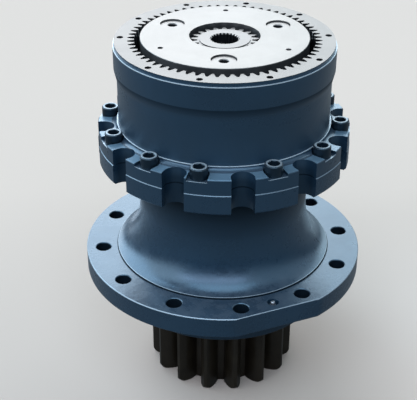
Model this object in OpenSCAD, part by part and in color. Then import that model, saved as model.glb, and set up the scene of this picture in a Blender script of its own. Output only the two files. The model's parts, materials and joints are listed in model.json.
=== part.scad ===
// Swing drive of an excavator: two planet stages in an upper and a lower case, with an output pinion.
// The origin is the centre of the mounting flange's lower face. Z points up, to the motor's side.
// The flange's flat faces -Y.

/* [Gear train] */
// Module of both planet stages
gear_module = 4; // [3.8:0.1:4.2]
// Teeth inside the ring gear
ring_teeth = 63; // [63]
// Teeth of the first sun, the planets fill the rest
first_sun_teeth = 21; // [21, 27]
// Teeth of the second sun, the planets fill the rest
second_sun_teeth = 17; // [17, 21]
// Planets in the first stage
first_planet_count = 3; // [3]
// Planets in the second stage
second_planet_count = 4; // [4]
// Width of the first planets
first_face = 30; // [20:1:34]
// Width of the second planets
second_face = 46; // [36:1:50]
// Turn of the ring gear's first tooth space, in degrees
ring_turn = 2.6; // [0:0.1:5]
// Turn of the first carrier, in degrees
first_carrier_turn = 6; // [0:0.5:30]
// Turn of the second carrier, in degrees
second_carrier_turn = 20; // [0:0.5:45]

/* [Upper case] */
// Height of the upper case, from the joint to its top face
upper_case_h = 143.5; // [142:0.5:160]
// Wall between the ring gear's tooth roots and the outside
upper_case_wall = 16.1; // [14:0.1:20]
// How far the band at the top stands out from the wall
band_out = 3.9; // [2:0.1:6]
// Height of the band under the top ledge
band_h = 31.3; // [20:0.1:40]
// Height of the taper under the band
band_taper_h = 17; // [8:0.5:25]
// Width of the ledge at the top edge
top_ledge_w = 2; // [1:0.1:4]
// Height of the top edge above the ledge
top_ledge_h = 5.2; // [3:0.1:8]
// Distance of the motor screw holes' circle from the ring gear's tooth roots
motor_hole_inset = 10.2; // [9:0.1:11]
// Radius of a motor screw hole
motor_hole_r = 4.4; // [3:0.1:5]
// Depth of a motor screw hole
motor_hole_depth = 24; // [15:1:28]

/* [Case joint] */
// How far the lugs of the castellated joint stand out from the upper case's wall
lug_out = 28.9; // [27.5:0.1:35]
// Height of the lugs above the joint face
upper_lug_h = 22.3; // [18:0.1:26]
// Height of the lugs below the joint face
lower_lug_h = 29.5; // [27:0.5:36]
// How far the lower lugs stand out from the upper ones
lug_step = 0.8; // [0.2:0.1:2]
// Distance of the joint screws' circle from the upper case's wall
joint_screw_out = 14.6; // [14.5:0.1:15.5]
// Half the width of a notch between two lugs
notch_r = 15.5; // [12:0.5:17]
// Distance of a notch's round end from the upper case's wall
notch_wall = 6; // [5:0.5:9]
// Half the width of a pocket under a screw head
pocket_r = 13.8; // [13:0.1:14.2]
// Depth of a pocket under a screw head
pocket_depth = 4.8; // [1:0.1:5.4]
// Height of the collar at the wall's foot above the lugs
collar_h = 5.8; // [3:0.1:8]
// Width of the collar's ledge
collar_w = 2.3; // [1:0.1:4]
// Distance of the register between the two cases from the tooth roots
register_wall = 9; // [7:0.5:9.5]
// Depth of the register
register_depth = 5; // [3:0.5:8]
// Thread radius of a joint screw
joint_screw_r = 8; // [6.5:0.5:8]
// Length of a joint screw under its head
joint_screw_l = 40; // [32:1:41]

/* [Lower case] */
// Height of the lower case, from the flange's lower face to the joint
lower_case_h = 205; // [190:0.5:225]
// Width of the flange outside the circle of mounting holes
flange_edge = 24.5; // [20:0.5:30]
// Thickness of the mounting flange
flange_t = 30; // [25:0.5:34]
// Depth of the flat that is cut on the flange's edge
flat_depth = 9.7; // [6:0.1:12]
// Distance of the mounting holes' circle outside the flare's rim
mount_circle_out = 21.8; // [20:0.1:26]
// Radius of a mounting hole
mount_hole_r = 11; // [8:0.5:12]
// Number of mounting holes
mount_hole_count = 12; // [12]
// How far the pilot under the flange stands inside the flare's rim
pilot_inset = 5.7; // [3:0.1:12]
// How far the oil seal sits inside the pilot's end
seal_inset = 3; // [1:0.5:6]
// Width over which the neck flares out to the raised rim on the flange
flare_w = 35.2; // [28:0.1:42]
// Height of the raised rim
rim_h = 2.4; // [1.5:0.1:5]
// Wall of the neck, outside the bearings' housing
neck_wall = 20.5; // [15:0.5:25]
// Height over which the neck flares to the rim
flare_h = 76; // [60:1:85]
// Slope that is left at the flare's rim, in degrees of its arc
flare_rim_slope = 8; // [0:1:12]
// Height over which the neck widens under the lugs
shoulder_h = 26; // [18:1:32]
// How far inside the notches the neck meets the lugs' lower face
shoulder_inset = 3; // [1:0.5:6]
// Distance of the grease nipple inside the flange's flat
nipple_inset = 17.3; // [14:0.1:19]
// Radius of the grease nipple's recess
nipple_recess_r = 8; // [7:0.5:9]
// Depth of the grease nipple's recess
nipple_recess_depth = 9; // [7:0.5:12]

/* [Bearings] */
// Step of the shaft from the upper bearing's bore radius to the lower one's
bearing_step = 10; // [7:0.5:14]
// Radial height of the lower bearing, from its bore to its outer face
lower_bearing_section = 50; // [42:0.5:54]
// Width of the lower bearing
lower_bearing_w = 60; // [54:1:62]
// Bore radius of the upper bearing
upper_bore_r = 55; // [53:0.5:57]
// Radial height of the upper bearing, from its bore to its outer face
upper_bearing_section = 40; // [34:0.5:44]
// Width of the upper bearing
upper_bearing_w = 48; // [44:1:50]
// Height of the lower bearing's lower side under the flange's lower face
lower_bearing_drop = 27; // [24:0.5:29]
// Free height between the locknut and the second carrier
nut_room = 10.6; // [6:0.1:14]
// Rollers in each main bearing
roller_count = 20; // [16:1:20]
// Tilt of the rollers, in degrees
roller_tilt = 14; // [12:0.5:15]

/* [Pinion] */
// Module of the pinion
pinion_module = 12; // [11.5:0.1:12.2]
// Teeth of the pinion
pinion_teeth = 15; // [14:1:16]
// Addendum shift of the pinion, in modules
pinion_shift = 0.5; // [0.3:0.05:0.6]
// Turn of the pinion's first tooth, in degrees
pinion_turn = 18.2; // [0:0.1:24]
// Width of the pinion
pinion_face = 118; // [100:1:134]
// Height of the shaft's collar between the seal's sleeve and the pinion
pinion_collar_h = 9; // [6:0.5:14]
// Rounding of the pinion's tooth ends
pinion_end_round = 8; // [4:0.5:10]

/* [Planet carriers] */
// Height of the first carrier's top above the upper case
carrier_rise = 4.3; // [2:0.1:6]
// Gap between the first carrier and the ring gear's teeth
first_carrier_gap = 7.8; // [6:0.1:10]
// Thickness of the first carrier's top plate
first_top_plate_t = 14; // [10:0.5:16]
// Thickness of the first carrier's lower plate
first_low_plate_t = 12; // [10:0.5:14]
// Radius of a first planet pin
first_pin_r = 17; // [15:0.5:18]
// Depth of the first planet pins under the carrier's top
first_pin_recess = 2.2; // [1:0.1:4]
// Gap between the second carrier and the ring gear's teeth
second_carrier_gap = 12; // [10:0.5:16]
// Thickness of the second carrier's top plate
second_top_plate_t = 16; // [12:0.5:18]
// Thickness of the second carrier's lower plate
second_low_plate_t = 18; // [14:0.5:20]
// Radius of a second planet pin
second_pin_r = 21; // [18:0.5:21.5]

/* [Hidden] */
$fn = 96;

// Overrun of every cut
over = 1;
// Gap between pieces that turn on each other
run_gap = 0.3;
// Gap between pieces that are pressed or bolted together
fit_gap = 0.05;
// How much thinner each tooth is for its play
tooth_play = 0.4;
// Small edge chamfer
edge = 1;
pressure_angle = 20;

// Teeth of the planets
first_planet_teeth = (ring_teeth - first_sun_teeth) / 2;
second_planet_teeth = (ring_teeth - second_sun_teeth) / 2;
// Distances between the drive's axis and the planets' axes
first_arm = gear_module * (first_sun_teeth + first_planet_teeth) / 2;
second_arm = gear_module * (second_sun_teeth + second_planet_teeth) / 2;
// Tooth heights above and below the pitch circle, in modules
addendum_share = 1;
dedendum_share = 1.25;
// Share of a tooth space's half that the root's slope fills at each side
root_slope_share = 0.15;
ring_pitch_r = gear_module * ring_teeth / 2;
ring_tip_r = ring_pitch_r - addendum_share * gear_module;
ring_root_r = ring_pitch_r + dedendum_share * gear_module;
first_sun_tip_r = gear_module * (first_sun_teeth / 2 + addendum_share);
second_sun_tip_r = gear_module * (second_sun_teeth / 2 + addendum_share);
first_planet_tip_r = gear_module * (first_planet_teeth / 2 + addendum_share);
second_planet_tip_r = gear_module * (second_planet_teeth / 2 + addendum_share);

// Radii of the upper case
wall_r = ring_root_r + upper_case_wall;
band_r = wall_r + band_out;
lug_r = wall_r + lug_out;
joint_screw_circle_r = wall_r + joint_screw_out;
notch_centre_r = wall_r + notch_wall + notch_r;
register_r = ring_root_r + register_wall;
motor_hole_circle_r = ring_root_r + motor_hole_inset;
upper_top_z = lower_case_h + upper_case_h;
ledge_z = upper_top_z - top_ledge_h;
lug_top_z = lower_case_h + upper_lug_h;
pocket_z = lug_top_z - pocket_depth;
lug_bottom_z = lower_case_h - lower_lug_h;
// Ring gear's teeth end this far above the joint, over a bore a little wider than their roots
tooth_runout_h = 9;
runout_r = ring_root_r + edge;
// Motor screw holes are every 36 degrees, but for two that stand further apart, about -X
motor_hole_step = 36;
motor_hole_turns = [270, 306, 342, 18, 54, 90, 126, 156.5, 203.5, 234];
// Joint screws are every 30 degrees, but for one
joint_screw_turns = [0, 30, 60, 90, 120, 150, 180, 210, 235.5, 270, 300, 330];
mount_step = 360 / mount_hole_count;

// Joint screw's head, in shares of its thread
head_r_share = 1.5;
head_h_share = 2;
head_chamfer_share = 0.2;
socket_share = 0.99;
head_r = head_r_share * joint_screw_r;
head_h = head_h_share * joint_screw_r;
head_chamfer = head_chamfer_share * joint_screw_r;
socket_r = socket_share * joint_screw_r;
socket_depth = joint_screw_r;
socket_lead = 2 * edge;
screw_hole_end = 3;
joint_hole_depth = joint_screw_l - upper_lug_h + pocket_depth + screw_hole_end;

// O-ring in the joint, outside the register
o_ring_wire_r = 2;
o_ring_r = register_r + o_ring_wire_r + 1.5 * edge;

// Lower case, inside
lower_bore_r = upper_bore_r + bearing_step;
lower_outer_r = lower_bore_r + lower_bearing_section;
upper_outer_r = upper_bore_r + upper_bearing_section;
seal_w = 15;
seal_step = 5;
seal_r = lower_outer_r + seal_step;
lower_bearing_z = -lower_bearing_drop;
lower_bearing_top_z = lower_bearing_z + lower_bearing_w;
housing_bottom_z = lower_bearing_z - edge - seal_w - seal_inset;
lower_shoulder_w = 15;
upper_shoulder_w = 11;
upper_shoulder_h = 8;
bearing_lead_in = 18;
bearing_lead_w = 5;
carrier_room = 4;
first_carrier_r = ring_tip_r - first_carrier_gap;
second_carrier_r = ring_tip_r - second_carrier_gap;
chamber_r = second_carrier_r + carrier_room;
shoulder_r = wall_r + notch_wall - shoulder_inset;

// Lower case, outside, from the neck out to the flange's edge
neck_r = neck_wall + max(lower_outer_r - lower_shoulder_w, upper_outer_r + bearing_lead_w);
rim_r = neck_r + flare_w;
pilot_r = rim_r - pilot_inset;
mount_circle_r = rim_r + mount_circle_out;
flange_r = mount_circle_r + flange_edge;
flange_flat = flange_r - flat_depth;
nipple_circle_r = flange_flat - nipple_inset;

// Grease nipple
nipple_thread_r = 4;
nipple_thread_l = 7;
nipple_hex_r = 5.2;
nipple_hex_h = 4;
nipple_ball_r = 3.2;
nipple_neck_r = 2.2;
nipple_bore_r = 1.1;
nipple_h = 11;
passage_r = 2.5;

// Main bearings' rollers and cages
roller_place_share = 0.52;
roller_size_share = 0.22;
lower_pitch_r = lower_bore_r + roller_place_share * (lower_outer_r - lower_bore_r);
upper_pitch_r = upper_bore_r + roller_place_share * (upper_outer_r - upper_bore_r);
lower_roller_r = roller_size_share * (lower_outer_r - lower_bore_r);
upper_roller_r = roller_size_share * (upper_outer_r - upper_bore_r);
roller_length_share = 0.6;
race_rib = 4;
race_small_rib = 1.5;
cage_t = 2.6;
cage_rail = 3.2;
race_groove_w = 7;
race_groove_depth = 2;
race_hole_r = 2.5;
race_hole_count = 4;

// Pinion shaft
pinion_tip_r = pinion_module * (pinion_teeth / 2 + addendum_share + pinion_shift);
pinion_root_r = pinion_module * (pinion_teeth / 2 - dedendum_share + pinion_shift);
pinion_root_relief = 3;
sleeve_seat_step = 7;
sleeve_wall = 16;
sleeve_h = 20;
sleeve_seat_r = lower_bore_r + sleeve_seat_step;
sleeve_r = sleeve_seat_r + sleeve_wall;
sleeve_bottom_z = lower_bearing_z - sleeve_h;
pinion_top_z = sleeve_bottom_z - pinion_collar_h;
pinion_bottom_z = pinion_top_z - pinion_face;
mid_shaft_step = 4;
mid_shaft_r = lower_bore_r - mid_shaft_step;
nut_wall = 18;
nut_h = 12;
nut_slots = 4;
nut_slot_w = 10;
nut_slot_depth = 5;
lock_washer_t = 2;
lock_tab_h = 8;
keyway_w = 8;
keyway_depth = 4;
thread_r = upper_bore_r - edge;
nut_r = thread_r + nut_wall;
shaft_spline_teeth = 30;
shaft_spline_r = thread_r - 2 * edge;
shaft_spline_depth = 2.6;
shaft_spline_foot_r = shaft_spline_r - shaft_spline_depth;
centre_hole_r = 9;
centre_hole_depth = 16;

// Second stage, stacked downwards from the first carrier's hub
washer_t = 1.5;
first_top_z = upper_top_z + carrier_rise;
first_planet_top_z = first_top_z - first_top_plate_t - washer_t - run_gap;
first_planet_z = first_planet_top_z - first_face;
first_low_plate_top_z = first_planet_z - run_gap - washer_t;
first_low_plate_z = first_low_plate_top_z - first_low_plate_t;
hub_drop = 8;
first_hub_z = first_low_plate_z - hub_drop;
hub_room = 2;
second_washer_t = 2;
second_top_z = first_hub_z - hub_room;
second_planet_top_z = second_top_z - second_top_plate_t - second_washer_t - run_gap;
second_planet_z = second_planet_top_z - second_face;
second_low_plate_top_z = second_planet_z - run_gap - second_washer_t;
second_low_plate_z = second_low_plate_top_z - second_low_plate_t;
second_hub_drop = 14;
second_hub_z = second_low_plate_z - second_hub_drop;
second_hub_wall = 22;
second_hub_r = shaft_spline_r + second_hub_wall;

// Upper bearing, under the locknut that stands below the second carrier
upper_bearing_top_z = second_hub_z - nut_room - nut_h - lock_washer_t;
upper_bearing_rise = upper_bearing_top_z - upper_bearing_w;

// Clearance between planets and the carriers' webs
planet_room = 1.5;
web_rim = 4;

// Bearings inside the planets
first_needle_r = 2.5;
second_needle_r = 3;
needle_count = 14;
needle_cage_t = 1.6;
needle_rail = 2;
needle_margin = 1.2;
first_planet_bore_r = first_pin_r + 2 * first_needle_r + 2 * run_gap;
second_planet_bore_r = second_pin_r + 2 * second_needle_r + 2 * run_gap;
washer_rim = 5;
pin_chamfer = 1.5;
pin_thread_r = 6;
pin_thread_depth = 24;
pin_thread_chamfer = 1.2;
lock_pin_r = 3;
lock_pin_wall = 1;
lock_pin_slot = 1.2;
lock_pin_bite = 7;
puller_hole_r = 3.8;
puller_hole_inset = 17.7;
puller_hole_circle_r = first_carrier_r - puller_hole_inset;
puller_hole_depth = 22;

// Suns, their splines and rings
first_sun_drop = 1.5;
first_sun_top_z = upper_top_z - first_sun_drop;
first_sun_hub_step = 2.4;
first_sun_hub_r = gear_module * (first_sun_teeth / 2 - dedendum_share) - first_sun_hub_step;
first_sun_hub_h = 1.2;
sun_room = 2.1;
first_carrier_bore_r = first_sun_tip_r + sun_room;
motor_spline_teeth = 24;
motor_spline_r = 20.4;
motor_spline_depth = 2.2;
motor_spline_chamfer = 1.2;
sun_shaft_step = 2;
sun_shaft_r = gear_module * (second_sun_teeth / 2 - dedendum_share) - sun_shaft_step;
sun_shaft_spline_depth = 2;
sun_shaft_spline_teeth = 24;
sun_shaft_foot_r = sun_shaft_r - sun_shaft_spline_depth;
sun_shaft_neck_r = sun_shaft_foot_r - edge;
sun_ring_t = 2;
sun_ring_w = 4.5;
sun_ring_gap_w = 8;
ring_groove_bite = 1.8;
sun_ring_recess = 4;
sun_washer_t = 2.2;
sun_washer_r = sun_shaft_r + 6 * edge;
sun_washer_bore_r = 14;
shaft_washer_t = 3;
shaft_end_z = second_planet_z - run_gap - shaft_washer_t;
shaft_washer_r = sun_shaft_r + 5 * edge;
shaft_washer_bore_r = 12;
carrier_ring_t = 3;
carrier_ring_w = 6;
carrier_ring_recess = 6;

// Share of a spline's pitch that a tooth fills at its tip and at its foot
spline_tip_share = 0.3;
spline_foot_share = 0.62;

// A point at radius r and angle a
function polar(r, a) = [r * cos(a), r * sin(a)];

// Points of a quarter-like arc of an ellipse with half axes a and b
function arc_points(cx, cy, a, b, from, to, steps) =
    [for (i = [0:steps]) let (t = from + (to - from) * i / steps) [cx + a * cos(t), cy + b * sin(t)]];

// Involute of an angle, in degrees
function involute(a) = tan(a) * 180 / PI - a;

// Half the angle that a tooth fills at radius r
function tooth_half_angle(m, z, shift, thin, r) =
    let (pitch_r = m * z / 2,
         base_r = pitch_r * cos(pressure_angle),
         width = PI * m / 2 + 2 * shift * m * tan(pressure_angle) - thin)
    width / 2 / pitch_r * 180 / PI + involute(pressure_angle) - involute(acos(min(1, base_r / r)));

// Outline of a gear with its first tooth on +X
function gear_outline(m, z, shift, thin, root_r, tip_r, steps) =
    let (foot_r = max(m * z / 2 * cos(pressure_angle), root_r),
         foot_a = tooth_half_angle(m, z, shift, thin, foot_r),
         root_a = foot_a + (180 / z - foot_a) * root_slope_share)
    [for (k = [0:z - 1]) let (c = 360 * k / z) each concat(
        [polar(root_r, c - root_a)],
        [for (i = [0:steps]) let (r = foot_r + (tip_r - foot_r) * i / steps)
            polar(r, c - tooth_half_angle(m, z, shift, thin, r))],
        [for (i = [steps:-1:0]) let (r = foot_r + (tip_r - foot_r) * i / steps)
            polar(r, c + tooth_half_angle(m, z, shift, thin, r))],
        [polar(root_r, c + root_a)])];

// Outline of a straight-sided spline with teeth from foot_r to tip_r
function spline_outline(teeth, foot_r, tip_r) =
    let (tip_a = 180 / teeth * spline_tip_share, foot_a = 180 / teeth * spline_foot_share)
    [for (k = [0:teeth - 1]) let (c = 360 * k / teeth) each [
        polar(foot_r, c - foot_a), polar(tip_r, c - tip_a),
        polar(tip_r, c + tip_a), polar(foot_r, c + foot_a)]];

// Turn of a planet's tooth so that it meshes with the ring gear, for a planet at angle a
function planet_turn(a, planet_teeth) = a + (ring_turn - a) * ring_teeth / planet_teeth;

// Turn of a sun's tooth so that it meshes with a planet at angle a
function sun_turn(a, planet_teeth, sun_teeth) =
    a - ((ring_turn - a) * ring_teeth / planet_teeth - 180) * planet_teeth / sun_teeth + 180 / sun_teeth;

function first_planet_angle(k) = first_carrier_turn + 360 * k / first_planet_count;
function second_planet_angle(k) = second_carrier_turn + 360 * k / second_planet_count;

// A solid turned from points [radius, height]
module turned(points) {
    rotate_extrude() polygon(points);
}

// A tube between two radii
module tube(inner_r, outer_r, h) {
    difference() {
        cylinder(r = outer_r, h = h);
        translate([0, 0, -over]) cylinder(r = inner_r, h = h + 2 * over);
    }
}

// Copies of the children at a list of angles, at radius r
module around(angles, r) {
    for (a = angles) rotate(a) translate([r, 0, 0]) children();
}

// Copies of the children at even angles
module evenly(count, r, turn = 0) {
    for (k = [0:count - 1]) rotate(turn + 360 * k / count) translate([r, 0, 0]) children();
}

// One notch between two lugs, from height low to height high
module notch(low, high) {
    cylinder_h = high - low;
    translate([notch_centre_r, 0, low]) {
        cylinder(r = notch_r, h = cylinder_h);
        translate([0, -notch_r, 0])
            cube([lug_r + lug_step - notch_centre_r + over, 2 * notch_r, cylinder_h]);
    }
}

// Upper case

module upper_case_blank() {
    turned(concat(
        [[register_r - fit_gap, lower_case_h - register_depth + fit_gap],
         [register_r - fit_gap, lower_case_h],
         [lug_r, lower_case_h],
         [lug_r, lug_top_z - edge],
         [lug_r - edge, lug_top_z]],
        arc_points(wall_r + collar_w + collar_h, lug_top_z + collar_h, collar_h, collar_h, 270, 180, 6),
        [[wall_r, lug_top_z + collar_h],
         [wall_r, ledge_z - band_h - band_taper_h],
         [band_r, ledge_z - band_h],
         [band_r, ledge_z],
         [band_r - top_ledge_w, ledge_z],
         [band_r - top_ledge_w, upper_top_z],
         [ring_tip_r - edge, upper_top_z],
         [ring_tip_r - edge, lower_case_h - register_depth + fit_gap]]));
}

module ring_space() {
    rotate(ring_turn) linear_extrude(upper_case_h + register_depth)
        polygon(gear_outline(gear_module, ring_teeth, 0, -tooth_play, ring_tip_r, ring_root_r, 3));
}

module screw_pocket() {
    translate([joint_screw_circle_r, 0, pocket_z]) {
        cylinder(r = pocket_r, h = upper_lug_h);
        translate([0, -pocket_r, 0])
            cube([lug_r - joint_screw_circle_r + over, 2 * pocket_r, upper_lug_h]);
    }
}

module ring_gear() {
    color([0.13, 0.2, 0.27]) difference() {
        upper_case_blank();
        translate([0, 0, lower_case_h + tooth_runout_h]) ring_space();
        translate([0, 0, lower_case_h - register_depth - over])
            cylinder(r = runout_r, h = register_depth + tooth_runout_h + 2 * over);
        intersection() {
            around(joint_screw_turns, 0) screw_pocket();
            translate([0, 0, pocket_z]) tube(wall_r + collar_w, lug_r + 2 * over, upper_lug_h);
        }
        evenly(mount_hole_count, 0, mount_step / 2) notch(lower_case_h - over, lug_top_z + over);
        around(joint_screw_turns, joint_screw_circle_r) translate([0, 0, lower_case_h - over])
            cylinder(r = joint_screw_r + 2 * run_gap, h = upper_lug_h);
        around(motor_hole_turns, motor_hole_circle_r) translate([0, 0, upper_top_z - motor_hole_depth])
            cylinder(r = motor_hole_r, h = motor_hole_depth + over);
    }
}

module joint_bolts() {
    color([0.11, 0.14, 0.18]) around(joint_screw_turns, joint_screw_circle_r) translate([0, 0, pocket_z])
        difference() {
            union() {
                turned([[0, 0], [head_r, 0], [head_r, head_h - head_chamfer], [head_r - head_chamfer, head_h],
                    [0, head_h]]);
                translate([0, 0, -joint_screw_l]) cylinder(r = joint_screw_r, h = joint_screw_l);
            }
            translate([0, 0, head_h - socket_depth])
                cylinder(r = socket_r, h = socket_depth + over, $fn = 6);
            translate([0, 0, head_h - socket_lead])
                cylinder(r1 = socket_r - socket_lead + edge / 4, r2 = socket_r + over + edge / 4,
                    h = socket_lead + over);
        }
}

module case_o_ring() {
    color([0.05, 0.05, 0.05]) translate([0, 0, lower_case_h - o_ring_wire_r]) rotate_extrude()
        translate([o_ring_r, 0]) circle(r = o_ring_wire_r - fit_gap, $fn = 32);
}

// Lower case

module lower_case_outside() {
    flange_top = flange_t;
    flare_a = (rim_r - neck_r) / (1 - sin(flare_rim_slope));
    flare_b = flare_h / cos(flare_rim_slope);
    flare_top = flange_top + rim_h + flare_h;
    lower_lug_r = lug_r + lug_step;
    turned(concat(
        [[0, housing_bottom_z],
         [pilot_r - 2 * edge, housing_bottom_z],
         [pilot_r, housing_bottom_z + 2 * edge],
         [pilot_r, 0],
         [flange_r - edge, 0],
         [flange_r, edge],
         [flange_r, flange_top - edge],
         [flange_r - edge, flange_top],
         [rim_r, flange_top]],
        arc_points(neck_r + flare_a, flare_top, flare_a, flare_b, 270 - flare_rim_slope, 180, 12),
        arc_points(shoulder_r, lug_bottom_z - shoulder_h, shoulder_r - neck_r, shoulder_h, 180, 90, 8),
        [[lower_lug_r - 3 * edge, lug_bottom_z],
         [lower_lug_r, lug_bottom_z + 3 * edge],
         [lower_lug_r, lower_case_h - edge],
         [lower_lug_r - edge, lower_case_h],
         [0, lower_case_h]]));
}

module lower_case_inside() {
    turned([
        [0, housing_bottom_z - over],
        [seal_r, housing_bottom_z - over],
        [seal_r, lower_bearing_z - edge],
        [lower_outer_r, lower_bearing_z - edge],
        [lower_outer_r, lower_bearing_top_z],
        [lower_outer_r - lower_shoulder_w, lower_bearing_top_z],
        [lower_outer_r - lower_shoulder_w, upper_bearing_rise - upper_shoulder_h - upper_shoulder_w],
        [upper_outer_r - upper_shoulder_w, upper_bearing_rise - upper_shoulder_h],
        [upper_outer_r - upper_shoulder_w, upper_bearing_rise],
        [upper_outer_r, upper_bearing_rise],
        [upper_outer_r, upper_bearing_top_z],
        [upper_outer_r + bearing_lead_w, upper_bearing_top_z + bearing_lead_w],
        [upper_outer_r + bearing_lead_w, upper_bearing_top_z + bearing_lead_in],
        [chamber_r, upper_bearing_top_z + bearing_lead_in],
        [chamber_r, lower_case_h - register_depth],
        [register_r, lower_case_h - register_depth],
        [register_r, lower_case_h + over],
        [0, lower_case_h + over]]);
}

module nipple_cuts() {
    race_z = lower_bearing_z + lower_bearing_w / 2;
    hole_end_z = race_z - 2 * passage_r;
    floor_z = flange_t - nipple_recess_depth;
    translate([0, -nipple_circle_r, 0]) {
        translate([0, 0, floor_z]) cylinder(r = nipple_recess_r, h = nipple_recess_depth + over);
        translate([0, 0, hole_end_z]) cylinder(r = nipple_thread_r, h = floor_z - hole_end_z + over);
        translate([0, 0, race_z]) rotate([-90, 0, 0])
            cylinder(r = passage_r, h = nipple_circle_r - lower_outer_r + over);
    }
}

module flat_cut() {
    size = 2 * flange_r;
    side = 0.75 * edge * sqrt(2);
    translate([-size / 2, -flange_flat - size, -over]) cube([size, size, flange_t + 2 * over]);
    for (z = [0, flange_t]) translate([-size / 2, -flange_flat, z])
        rotate([45, 0, 0]) translate([0, -side / 2, -side / 2]) cube([size, side, side]);
}

module lower_housing() {
    groove_w = 2 * o_ring_wire_r;
    color([0.13, 0.2, 0.27]) difference() {
        lower_case_outside();
        lower_case_inside();
        flat_cut();
        evenly(mount_hole_count, 0, mount_step / 2) notch(lug_bottom_z - over, lower_case_h + over);
        evenly(mount_hole_count, mount_circle_r, mount_step / 2) {
            translate([0, 0, -over]) cylinder(r = mount_hole_r, h = flange_t + 2 * over);
            translate([0, 0, flange_t - 2 * edge])
                cylinder(r1 = mount_hole_r - edge, r2 = mount_hole_r + 2 * edge, h = 3 * edge);
        }
        around(joint_screw_turns, joint_screw_circle_r) translate([0, 0, lower_case_h - joint_hole_depth])
            cylinder(r = joint_screw_r + fit_gap, h = joint_hole_depth + over);
        translate([0, 0, lower_case_h - groove_w])
            tube(o_ring_r - o_ring_wire_r, o_ring_r + o_ring_wire_r, groove_w + over);
        nipple_cuts();
    }
}

module grease_nipple() {
    length = nipple_h + nipple_thread_l;
    color([0.75, 0.75, 0.72]) translate([0, -nipple_circle_r, flange_t - nipple_recess_depth]) difference() {
        union() {
            translate([0, 0, -nipple_thread_l]) cylinder(r = nipple_thread_r - fit_gap, h = nipple_thread_l);
            cylinder(r = nipple_hex_r, h = nipple_hex_h, $fn = 6);
            cylinder(r = nipple_neck_r, h = nipple_h - nipple_ball_r);
            translate([0, 0, nipple_h - nipple_ball_r]) sphere(r = nipple_ball_r, $fn = 32);
        }
        translate([0, 0, -nipple_thread_l - over]) cylinder(r = nipple_bore_r, h = length + 2 * over);
    }
}

module oil_seal() {
    shell_t = 2;
    lip_h = 5;
    bottom = lower_bearing_z - edge - seal_w;
    color([0.12, 0.12, 0.12]) translate([0, 0, bottom]) turned([
        [seal_r - fit_gap, 0],
        [seal_r - fit_gap, seal_w],
        [seal_r - 3 * shell_t, seal_w],
        [seal_r - 3 * shell_t, 3 * shell_t],
        [sleeve_r + 4 * shell_t, 3 * shell_t],
        [sleeve_r + 3 * shell_t, seal_w - shell_t],
        [sleeve_r + shell_t, seal_w - shell_t],
        [sleeve_r + run_gap, seal_w - shell_t - lip_h / 2],
        [sleeve_r + shell_t, seal_w - shell_t - lip_h],
        [sleeve_r + shell_t, 2 * shell_t],
        [sleeve_r + run_gap, shell_t],
        [sleeve_r + run_gap, 0]]);
}

// Tapered roller bearings, drawn about their middle with the cones' apex above

function apex_h(pitch_r) = pitch_r / tan(roller_tilt);
function roller_half_angle(pitch_r, roller_r) = asin(roller_r * sin(roller_tilt) / pitch_r);
function inner_track_r(pitch_r, roller_r, z) =
    (apex_h(pitch_r) - z) * tan(roller_tilt - roller_half_angle(pitch_r, roller_r));
function outer_track_r(pitch_r, roller_r, z) =
    (apex_h(pitch_r) - z) * tan(roller_tilt + roller_half_angle(pitch_r, roller_r));
function roller_l(w) = roller_length_share * w;

module tapered_rollers(pitch_r, roller_r, w) {
    middle = pitch_r / sin(roller_tilt);
    half_a = roller_half_angle(pitch_r, roller_r);
    low = middle - roller_l(w) / 2;
    high = middle + roller_l(w) / 2;
    for (k = [0:roller_count - 1]) rotate(360 * k / roller_count)
        translate([0, 0, apex_h(pitch_r)]) rotate([0, 180 - roller_tilt, 0]) translate([0, 0, low])
            cylinder(r1 = low * tan(half_a) - run_gap, r2 = high * tan(half_a) - run_gap, h = high - low);
}

module tapered_inner_race(bore_r, pitch_r, roller_r, w) {
    low_z = -roller_l(w) / 2 * cos(roller_tilt) - roller_r * sin(roller_tilt) - 2 * run_gap;
    high_z = roller_l(w) / 2 * cos(roller_tilt) - roller_r * sin(roller_tilt) + 4 * run_gap;
    low_r = inner_track_r(pitch_r, roller_r, low_z);
    high_r = inner_track_r(pitch_r, roller_r, high_z);
    turned([
        [bore_r + fit_gap, -w / 2],
        [low_r + race_rib, -w / 2],
        [low_r + race_rib, low_z],
        [low_r, low_z],
        [high_r, high_z],
        [high_r + race_small_rib, high_z],
        [high_r + race_small_rib, w / 2],
        [bore_r + fit_gap, w / 2]]);
}

module tapered_outer_race(outer_r, pitch_r, roller_r, w) {
    difference() {
        turned([
            [outer_track_r(pitch_r, roller_r, -w / 2), -w / 2],
            [outer_r - fit_gap, -w / 2],
            [outer_r - fit_gap, -race_groove_w / 2],
            [outer_r - race_groove_depth, -race_groove_w / 2],
            [outer_r - race_groove_depth, race_groove_w / 2],
            [outer_r - fit_gap, race_groove_w / 2],
            [outer_r - fit_gap, w / 2],
            [outer_track_r(pitch_r, roller_r, w / 2), w / 2]]);
        evenly(race_hole_count, 0) rotate([0, 90, 0]) cylinder(r = race_hole_r, h = outer_r);
    }
}

module tapered_cage(pitch_r, roller_r, w) {
    length = roller_l(w);
    middle = pitch_r / sin(roller_tilt);
    half_h = (length / 2 + cage_rail + run_gap) * cos(roller_tilt);
    half_t = cage_t / 2 / cos(roller_tilt);
    window_w = 2 * (roller_r + (length / 2) * tan(roller_half_angle(pitch_r, roller_r)) + run_gap);
    difference() {
        turned([for (s = [[-half_t, -1], [half_t, -1], [half_t, 1], [-half_t, 1]])
            [pitch_r - s[1] * half_h * tan(roller_tilt) + s[0], s[1] * half_h]]);
        for (k = [0:roller_count - 1]) rotate(360 * k / roller_count)
            translate([0, 0, apex_h(pitch_r)]) rotate([0, 180 - roller_tilt, 0])
                translate([-2 * cage_t, -window_w / 2, middle - length / 2 - run_gap])
                    cube([4 * cage_t, window_w, length + 2 * run_gap]);
    }
}

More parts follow.
